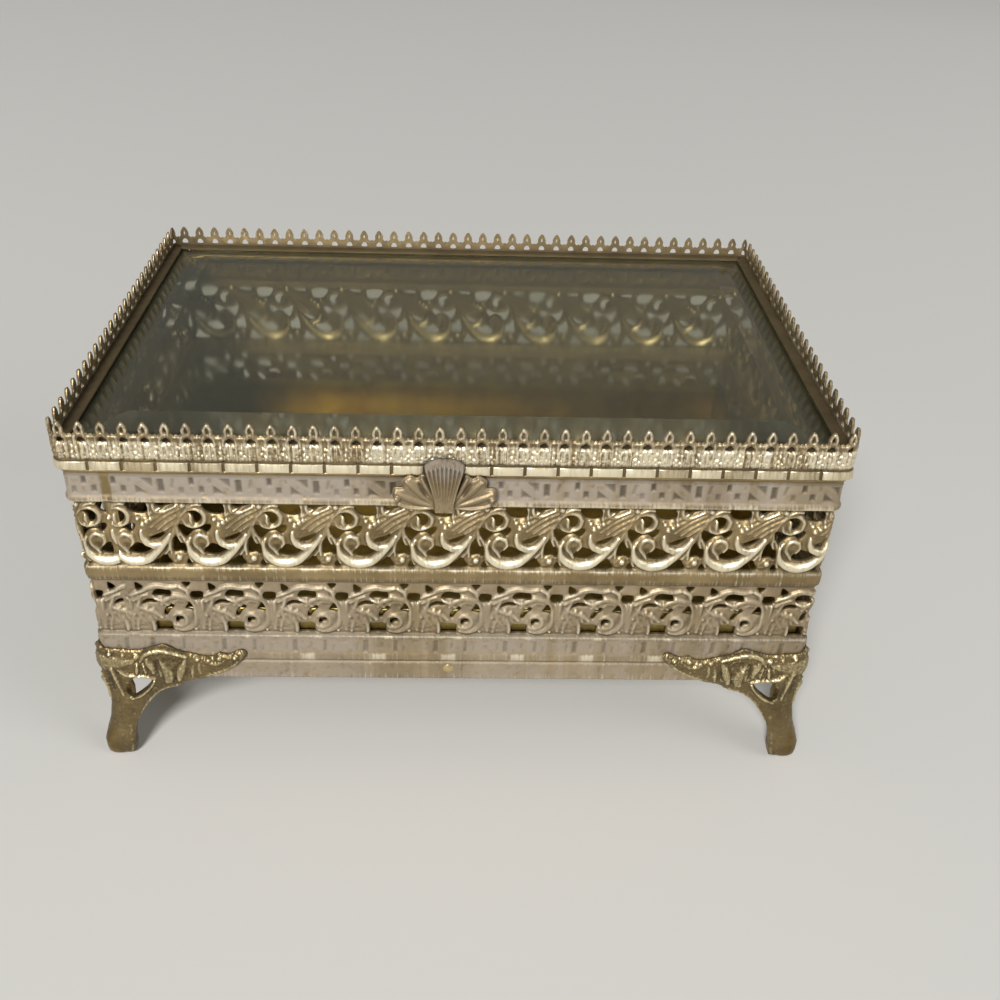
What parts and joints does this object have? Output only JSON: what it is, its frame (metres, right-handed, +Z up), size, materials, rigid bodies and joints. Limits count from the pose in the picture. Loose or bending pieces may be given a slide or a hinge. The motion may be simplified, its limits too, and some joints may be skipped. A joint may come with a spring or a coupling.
{
  "type": "jewel casket",
  "caption": "Low rectangular casket of pierced scrollwork metal on cast corner legs, with a hinged bevelled glass lid edged by small crowns and a shell thumb tab.",
  "frame": {"origin": "on the floor plane, under the centre of the box", "axes": "+X to the right seen from the front, +Y to the back where the hinges are, +Z up"},
  "size_m": [0.1816, 0.1279, 0.098],
  "materials": {
    "worn_gilt": "stamped sheet, worn gilding with a thin pale wash",
    "inner_gilt": "bare gilt sheet, softly polished",
    "cast_gilt": "cast metal, dull olive gilding with bright rubbed edges",
    "plain_brass": "plain turned brass",
    "clear_glass": "clear bevelled plate glass"
  },
  "bodies": {
    "box": {"wall_front": "worn_gilt", "wall_back": "worn_gilt", "wall_left": "worn_gilt", "wall_right": "worn_gilt", "top_rim": "worn_gilt", "base_pan": "inner_gilt", "pan_rivets": "worn_gilt", "leg_front_left": "cast_gilt", "leg_front_right": "cast_gilt", "leg_back_left": "cast_gilt", "leg_back_right": "cast_gilt", "leg_screws": "plain_brass", "hinge_body_left": "worn_gilt", "hinge_body_right": "worn_gilt", "hinge_pin_left": "plain_brass", "hinge_pin_right": "plain_brass"},
    "lid": {"lid_frame": "worn_gilt", "lace_front": "worn_gilt", "lace_back": "worn_gilt", "lace_left": "worn_gilt", "lace_right": "worn_gilt", "glass": "clear_glass", "glass_retainer": "inner_gilt", "shell_tab": "cast_gilt", "hinge_lid_left": "worn_gilt", "hinge_lid_right": "worn_gilt"}
  },
  "joints": [
    {"name": "lid_hinge", "type": "hinge", "parent": "box", "child": "lid", "pos_m": [0, 0.0626, 0.0861], "axis": [-1, 0, 0], "range_deg": [0, 100]}
  ]
}
